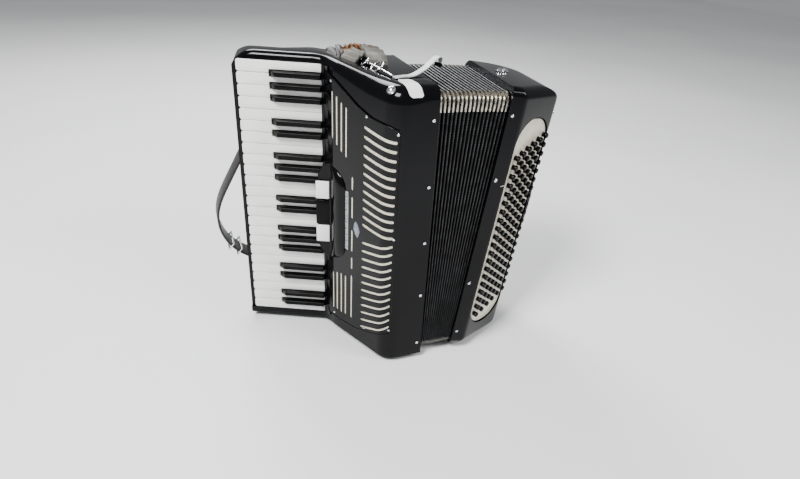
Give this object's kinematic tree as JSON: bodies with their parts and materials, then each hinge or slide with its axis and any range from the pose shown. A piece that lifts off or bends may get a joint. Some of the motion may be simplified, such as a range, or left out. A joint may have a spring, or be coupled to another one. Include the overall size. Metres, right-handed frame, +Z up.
{
  "type": "piano accordion",
  "caption": "Full-size piano accordion standing on its end, bellows fanned open, with sprung piano keys, bass button board, register tabs and leather straps.",
  "frame": {"origin": "middle of the footprint, on the floor under the rubber feet", "axes": "+X from the piano keyboard towards the bass end, +Y from the grille (front) towards the player, +Z up"},
  "size_m": [0.5688, 0.2971, 0.5208],
  "materials": {
    "casing": "polished black celluloid",
    "grille": "polished black",
    "hood": "polished black",
    "white_keys": "polished ivory plastic",
    "black_keys": "satin black plastic",
    "tab_white": "polished white plastic",
    "tab_black": "polished black plastic",
    "steel": "drawn steel",
    "reed_wood": "bare spruce and walnut",
    "feet": "matt rubber",
    "fittings": "bright chrome",
    "strap": "worn black leather",
    "light_strap": "light grey leather",
    "bellows_cloth": "black cloth over card",
    "button_board": "cream plastic",
    "bass_button": "polished black plastic"
  },
  "bodies": {
    "treble_side": {"treble_casing": "casing", "treble_grille": "grille", "register_housing": "hood", "key_rod": "steel", "treble_reed_unit": "reed_wood", "rubber_feet": "feet", "metal_fittings": "fittings", "shoulder_straps": "strap"},
    "bellows_body": {"bellows": "bellows_cloth"},
    "bass_side": {"bass_casing": "casing", "bass_button_board": "button_board", "bass_reed_unit": "reed_wood", "bass_strap": "strap"},
    "bass_button_set": {"bass_buttons": "bass_button"},
    "air_release": {"air_button": "fittings"},
    "bellows_strap_body": {"bellows_strap": "light_strap"},
    "white_key_01": {"white_key_01": "white_keys"},
    "white_key_02": {"white_key_02": "white_keys"},
    "white_key_03": {"white_key_03": "white_keys"},
    "white_key_04": {"white_key_04": "white_keys"},
    "white_key_05": {"white_key_05": "white_keys"},
    "white_key_06": {"white_key_06": "white_keys"},
    "white_key_07": {"white_key_07": "white_keys"},
    "white_key_08": {"white_key_08": "white_keys"},
    "white_key_09": {"white_key_09": "white_keys"},
    "white_key_10": {"white_key_10": "white_keys"},
    "white_key_11": {"white_key_11": "white_keys"},
    "white_key_12": {"white_key_12": "white_keys"},
    "white_key_13": {"white_key_13": "white_keys"},
    "white_key_14": {"white_key_14": "white_keys"},
    "white_key_15": {"white_key_15": "white_keys"},
    "white_key_16": {"white_key_16": "white_keys"},
    "white_key_17": {"white_key_17": "white_keys"},
    "white_key_18": {"white_key_18": "white_keys"},
    "white_key_19": {"white_key_19": "white_keys"},
    "white_key_20": {"white_key_20": "white_keys"},
    "white_key_21": {"white_key_21": "white_keys"},
    "white_key_22": {"white_key_22": "white_keys"},
    "white_key_23": {"white_key_23": "white_keys"},
    "white_key_24": {"white_key_24": "white_keys"},
    "black_key_01": {"black_key_01": "black_keys"},
    "black_key_02": {"black_key_02": "black_keys"},
    "black_key_03": {"black_key_03": "black_keys"},
    "black_key_04": {"black_key_04": "black_keys"},
    "black_key_05": {"black_key_05": "black_keys"},
    "black_key_06": {"black_key_06": "black_keys"},
    "black_key_07": {"black_key_07": "black_keys"},
    "black_key_08": {"black_key_08": "black_keys"},
    "black_key_09": {"black_key_09": "black_keys"},
    "black_key_10": {"black_key_10": "black_keys"},
    "black_key_11": {"black_key_11": "black_keys"},
    "black_key_12": {"black_key_12": "black_keys"},
    "black_key_13": {"black_key_13": "black_keys"},
    "black_key_14": {"black_key_14": "black_keys"},
    "black_key_15": {"black_key_15": "black_keys"},
    "black_key_16": {"black_key_16": "black_keys"},
    "black_key_17": {"black_key_17": "black_keys"},
    "register_tab_1": {"register_tab_1": "tab_white"},
    "register_tab_2": {"register_tab_2": "tab_black"},
    "register_tab_3": {"register_tab_3": "tab_white"}
  },
  "joints": [
    {"name": "bellows_fan", "type": "hinge", "parent": "treble_side", "child": "bellows_body", "pos_m": [0.0949, -0.1315, 0.023], "axis": [0, 0.8247, -0.5656], "range_deg": [-8.7, 8], "deforming": ["bellows"]},
    {"name": "bellows_stretch", "type": "slide", "parent": "bellows_body", "child": "bass_side", "axis": [0.9884, -0.0859, -0.1252], "range_m": [0, 0.18], "deforming": ["bellows"]},
    {"name": "register_tab_1_rock", "type": "hinge", "parent": "treble_side", "child": "register_tab_1", "pos_m": [-0.11131, -0.00715, 0.251], "axis": [0, 0, -1], "range_deg": [0, 5]},
    {"name": "register_tab_2_rock", "type": "hinge", "parent": "treble_side", "child": "register_tab_2", "pos_m": [-0.11131, -0.00715, 0.251], "axis": [0, 0, -1], "range_deg": [0, 5]},
    {"name": "register_tab_3_rock", "type": "hinge", "parent": "treble_side", "child": "register_tab_3", "pos_m": [-0.11131, -0.00715, 0.251], "axis": [0, 0, -1], "range_deg": [0, 5]},
    {"name": "bass_buttons_press", "type": "slide", "parent": "bass_side", "child": "bass_button_set", "axis": [-0.4658, 0.8826, 0.0636], "range_m": [0, 0.004], "stiffness_N_per_m": 1500, "springref_m": -0.002},
    {"name": "air_button_press", "type": "slide", "parent": "bass_side", "child": "air_release", "axis": [-0.9884, 0.0859, 0.1252], "range_m": [0, 0.006], "stiffness_N_per_m": 400, "springref_m": -0.003},
    {"name": "bellows_strap_swing", "type": "hinge", "parent": "treble_side", "child": "bellows_strap_body", "pos_m": [-0.0245, -0.0865, 0.498], "axis": [0.4384, -0.8988, 0], "range_deg": [0, 80]},
    {"name": "white_key_01_dip", "type": "hinge", "parent": "treble_side", "child": "white_key_01", "pos_m": [-0.08783, 0.0155, 0.251], "axis": [0, 0, -1], "range_deg": [0, 1.9], "stiffness_Nm_per_rad": 1.2, "springref_deg": -3.84},
    {"name": "white_key_02_dip", "type": "hinge", "parent": "treble_side", "child": "white_key_02", "pos_m": [-0.08783, 0.0155, 0.251], "axis": [0, 0, -1], "range_deg": [0, 1.9], "stiffness_Nm_per_rad": 1.2, "springref_deg": -3.84},
    {"name": "white_key_03_dip", "type": "hinge", "parent": "treble_side", "child": "white_key_03", "pos_m": [-0.08783, 0.0155, 0.251], "axis": [0, 0, -1], "range_deg": [0, 1.9], "stiffness_Nm_per_rad": 1.2, "springref_deg": -3.84},
    {"name": "white_key_04_dip", "type": "hinge", "parent": "treble_side", "child": "white_key_04", "pos_m": [-0.08783, 0.0155, 0.251], "axis": [0, 0, -1], "range_deg": [0, 1.9], "stiffness_Nm_per_rad": 1.2, "springref_deg": -3.84},
    {"name": "white_key_05_dip", "type": "hinge", "parent": "treble_side", "child": "white_key_05", "pos_m": [-0.08783, 0.0155, 0.251], "axis": [0, 0, -1], "range_deg": [0, 1.9], "stiffness_Nm_per_rad": 1.2, "springref_deg": -3.84},
    {"name": "white_key_06_dip", "type": "hinge", "parent": "treble_side", "child": "white_key_06", "pos_m": [-0.08783, 0.0155, 0.251], "axis": [0, 0, -1], "range_deg": [0, 1.9], "stiffness_Nm_per_rad": 1.2, "springref_deg": -3.84},
    {"name": "white_key_07_dip", "type": "hinge", "parent": "treble_side", "child": "white_key_07", "pos_m": [-0.08783, 0.0155, 0.251], "axis": [0, 0, -1], "range_deg": [0, 1.9], "stiffness_Nm_per_rad": 1.2, "springref_deg": -3.84},
    {"name": "white_key_08_dip", "type": "hinge", "parent": "treble_side", "child": "white_key_08", "pos_m": [-0.08783, 0.0155, 0.251], "axis": [0, 0, -1], "range_deg": [0, 1.9], "stiffness_Nm_per_rad": 1.2, "springref_deg": -3.84},
    {"name": "white_key_09_dip", "type": "hinge", "parent": "treble_side", "child": "white_key_09", "pos_m": [-0.08783, 0.0155, 0.251], "axis": [0, 0, -1], "range_deg": [0, 1.9], "stiffness_Nm_per_rad": 1.2, "springref_deg": -3.84},
    {"name": "white_key_10_dip", "type": "hinge", "parent": "treble_side", "child": "white_key_10", "pos_m": [-0.08783, 0.0155, 0.251], "axis": [0, 0, -1], "range_deg": [0, 1.9], "stiffness_Nm_per_rad": 1.2, "springref_deg": -3.84},
    {"name": "white_key_11_dip", "type": "hinge", "parent": "treble_side", "child": "white_key_11", "pos_m": [-0.08783, 0.0155, 0.251], "axis": [0, 0, -1], "range_deg": [0, 1.9], "stiffness_Nm_per_rad": 1.2, "springref_deg": -3.84},
    {"name": "white_key_12_dip", "type": "hinge", "parent": "treble_side", "child": "white_key_12", "pos_m": [-0.08783, 0.0155, 0.251], "axis": [0, 0, -1], "range_deg": [0, 1.9], "stiffness_Nm_per_rad": 1.2, "springref_deg": -3.84},
    {"name": "white_key_13_dip", "type": "hinge", "parent": "treble_side", "child": "white_key_13", "pos_m": [-0.08783, 0.0155, 0.251], "axis": [0, 0, -1], "range_deg": [0, 1.9], "stiffness_Nm_per_rad": 1.2, "springref_deg": -3.84},
    {"name": "white_key_14_dip", "type": "hinge", "parent": "treble_side", "child": "white_key_14", "pos_m": [-0.08783, 0.0155, 0.251], "axis": [0, 0, -1], "range_deg": [0, 1.9], "stiffness_Nm_per_rad": 1.2, "springref_deg": -3.84},
    {"name": "white_key_15_dip", "type": "hinge", "parent": "treble_side", "child": "white_key_15", "pos_m": [-0.08783, 0.0155, 0.251], "axis": [0, 0, -1], "range_deg": [0, 1.9], "stiffness_Nm_per_rad": 1.2, "springref_deg": -3.84},
    {"name": "white_key_16_dip", "type": "hinge", "parent": "treble_side", "child": "white_key_16", "pos_m": [-0.08783, 0.0155, 0.251], "axis": [0, 0, -1], "range_deg": [0, 1.9], "stiffness_Nm_per_rad": 1.2, "springref_deg": -3.84},
    {"name": "white_key_17_dip", "type": "hinge", "parent": "treble_side", "child": "white_key_17", "pos_m": [-0.08783, 0.0155, 0.251], "axis": [0, 0, -1], "range_deg": [0, 1.9], "stiffness_Nm_per_rad": 1.2, "springref_deg": -3.84},
    {"name": "white_key_18_dip", "type": "hinge", "parent": "treble_side", "child": "white_key_18", "pos_m": [-0.08783, 0.0155, 0.251], "axis": [0, 0, -1], "range_deg": [0, 1.9], "stiffness_Nm_per_rad": 1.2, "springref_deg": -3.84},
    {"name": "white_key_19_dip", "type": "hinge", "parent": "treble_side", "child": "white_key_19", "pos_m": [-0.08783, 0.0155, 0.251], "axis": [0, 0, -1], "range_deg": [0, 1.9], "stiffness_Nm_per_rad": 1.2, "springref_deg": -3.84},
    {"name": "white_key_20_dip", "type": "hinge", "parent": "treble_side", "child": "white_key_20", "pos_m": [-0.08783, 0.0155, 0.251], "axis": [0, 0, -1], "range_deg": [0, 1.9], "stiffness_Nm_per_rad": 1.2, "springref_deg": -3.84},
    {"name": "white_key_21_dip", "type": "hinge", "parent": "treble_side", "child": "white_key_21", "pos_m": [-0.08783, 0.0155, 0.251], "axis": [0, 0, -1], "range_deg": [0, 1.9], "stiffness_Nm_per_rad": 1.2, "springref_deg": -3.84},
    {"name": "white_key_22_dip", "type": "hinge", "parent": "treble_side", "child": "white_key_22", "pos_m": [-0.08783, 0.0155, 0.251], "axis": [0, 0, -1], "range_deg": [0, 1.9], "stiffness_Nm_per_rad": 1.2, "springref_deg": -3.84},
    {"name": "white_key_23_dip", "type": "hinge", "parent": "treble_side", "child": "white_key_23", "pos_m": [-0.08783, 0.0155, 0.251], "axis": [0, 0, -1], "range_deg": [0, 1.9], "stiffness_Nm_per_rad": 1.2, "springref_deg": -3.84},
    {"name": "white_key_24_dip", "type": "hinge", "parent": "treble_side", "child": "white_key_24", "pos_m": [-0.08783, 0.0155, 0.251], "axis": [0, 0, -1], "range_deg": [0, 1.9], "stiffness_Nm_per_rad": 1.2, "springref_deg": -3.84},
    {"name": "black_key_01_dip", "type": "hinge", "parent": "treble_side", "child": "black_key_01", "pos_m": [-0.08783, 0.0155, 0.251], "axis": [0, 0, -1], "range_deg": [0, 1.9], "stiffness_Nm_per_rad": 1.2, "springref_deg": -3.84},
    {"name": "black_key_02_dip", "type": "hinge", "parent": "treble_side", "child": "black_key_02", "pos_m": [-0.08783, 0.0155, 0.251], "axis": [0, 0, -1], "range_deg": [0, 1.9], "stiffness_Nm_per_rad": 1.2, "springref_deg": -3.84},
    {"name": "black_key_03_dip", "type": "hinge", "parent": "treble_side", "child": "black_key_03", "pos_m": [-0.08783, 0.0155, 0.251], "axis": [0, 0, -1], "range_deg": [0, 1.9], "stiffness_Nm_per_rad": 1.2, "springref_deg": -3.84},
    {"name": "black_key_04_dip", "type": "hinge", "parent": "treble_side", "child": "black_key_04", "pos_m": [-0.08783, 0.0155, 0.251], "axis": [0, 0, -1], "range_deg": [0, 1.9], "stiffness_Nm_per_rad": 1.2, "springref_deg": -3.84},
    {"name": "black_key_05_dip", "type": "hinge", "parent": "treble_side", "child": "black_key_05", "pos_m": [-0.08783, 0.0155, 0.251], "axis": [0, 0, -1], "range_deg": [0, 1.9], "stiffness_Nm_per_rad": 1.2, "springref_deg": -3.84},
    {"name": "black_key_06_dip", "type": "hinge", "parent": "treble_side", "child": "black_key_06", "pos_m": [-0.08783, 0.0155, 0.251], "axis": [0, 0, -1], "range_deg": [0, 1.9], "stiffness_Nm_per_rad": 1.2, "springref_deg": -3.84},
    {"name": "black_key_07_dip", "type": "hinge", "parent": "treble_side", "child": "black_key_07", "pos_m": [-0.08783, 0.0155, 0.251], "axis": [0, 0, -1], "range_deg": [0, 1.9], "stiffness_Nm_per_rad": 1.2, "springref_deg": -3.84},
    {"name": "black_key_08_dip", "type": "hinge", "parent": "treble_side", "child": "black_key_08", "pos_m": [-0.08783, 0.0155, 0.251], "axis": [0, 0, -1], "range_deg": [0, 1.9], "stiffness_Nm_per_rad": 1.2, "springref_deg": -3.84},
    {"name": "black_key_09_dip", "type": "hinge", "parent": "treble_side", "child": "black_key_09", "pos_m": [-0.08783, 0.0155, 0.251], "axis": [0, 0, -1], "range_deg": [0, 1.9], "stiffness_Nm_per_rad": 1.2, "springref_deg": -3.84},
    {"name": "black_key_10_dip", "type": "hinge", "parent": "treble_side", "child": "black_key_10", "pos_m": [-0.08783, 0.0155, 0.251], "axis": [0, 0, -1], "range_deg": [0, 1.9], "stiffness_Nm_per_rad": 1.2, "springref_deg": -3.84},
    {"name": "black_key_11_dip", "type": "hinge", "parent": "treble_side", "child": "black_key_11", "pos_m": [-0.08783, 0.0155, 0.251], "axis": [0, 0, -1], "range_deg": [0, 1.9], "stiffness_Nm_per_rad": 1.2, "springref_deg": -3.84},
    {"name": "black_key_12_dip", "type": "hinge", "parent": "treble_side", "child": "black_key_12", "pos_m": [-0.08783, 0.0155, 0.251], "axis": [0, 0, -1], "range_deg": [0, 1.9], "stiffness_Nm_per_rad": 1.2, "springref_deg": -3.84},
    {"name": "black_key_13_dip", "type": "hinge", "parent": "treble_side", "child": "black_key_13", "pos_m": [-0.08783, 0.0155, 0.251], "axis": [0, 0, -1], "range_deg": [0, 1.9], "stiffness_Nm_per_rad": 1.2, "springref_deg": -3.84},
    {"name": "black_key_14_dip", "type": "hinge", "parent": "treble_side", "child": "black_key_14", "pos_m": [-0.08783, 0.0155, 0.251], "axis": [0, 0, -1], "range_deg": [0, 1.9], "stiffness_Nm_per_rad": 1.2, "springref_deg": -3.84},
    {"name": "black_key_15_dip", "type": "hinge", "parent": "treble_side", "child": "black_key_15", "pos_m": [-0.08783, 0.0155, 0.251], "axis": [0, 0, -1], "range_deg": [0, 1.9], "stiffness_Nm_per_rad": 1.2, "springref_deg": -3.84},
    {"name": "black_key_16_dip", "type": "hinge", "parent": "treble_side", "child": "black_key_16", "pos_m": [-0.08783, 0.0155, 0.251], "axis": [0, 0, -1], "range_deg": [0, 1.9], "stiffness_Nm_per_rad": 1.2, "springref_deg": -3.84},
    {"name": "black_key_17_dip", "type": "hinge", "parent": "treble_side", "child": "black_key_17", "pos_m": [-0.08783, 0.0155, 0.251], "axis": [0, 0, -1], "range_deg": [0, 1.9], "stiffness_Nm_per_rad": 1.2, "springref_deg": -3.84}
  ]
}
